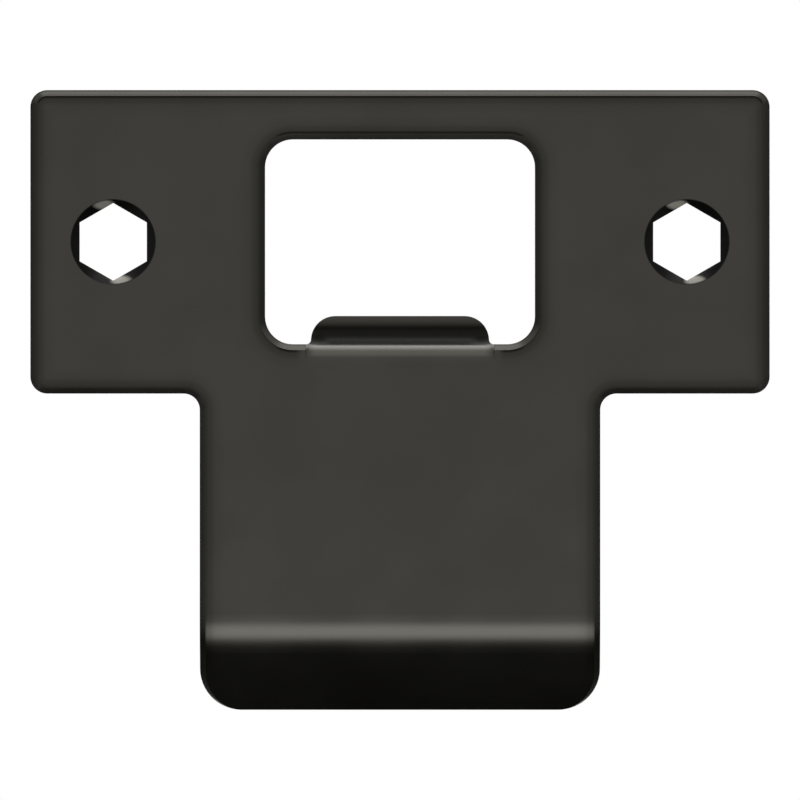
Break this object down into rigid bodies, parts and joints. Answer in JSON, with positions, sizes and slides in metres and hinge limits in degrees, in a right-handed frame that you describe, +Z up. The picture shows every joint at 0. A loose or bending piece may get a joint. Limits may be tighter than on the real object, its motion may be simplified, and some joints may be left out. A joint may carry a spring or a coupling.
{
  "type": "door strike plate",
  "caption": "T-shaped door strike plate with a latch opening, a small tab bent back at its foot, hexagonal screw holes and a tongue that curves back into a lip.",
  "frame": {"origin": "on the back face, halfway between the screw holes", "axes": "+X along the bar to the right as seen from the front, +Z up with the lip below, -Y out of the front face and +Y into the door frame"},
  "size_m": [0.0698, 0.0083, 0.0586],
  "materials": {
    "dark_bronze": "satin dark bronze, a little darker along the edges"
  },
  "bodies": {
    "root": {"strike_plate": "dark_bronze"}
  },
  "joints": []
}
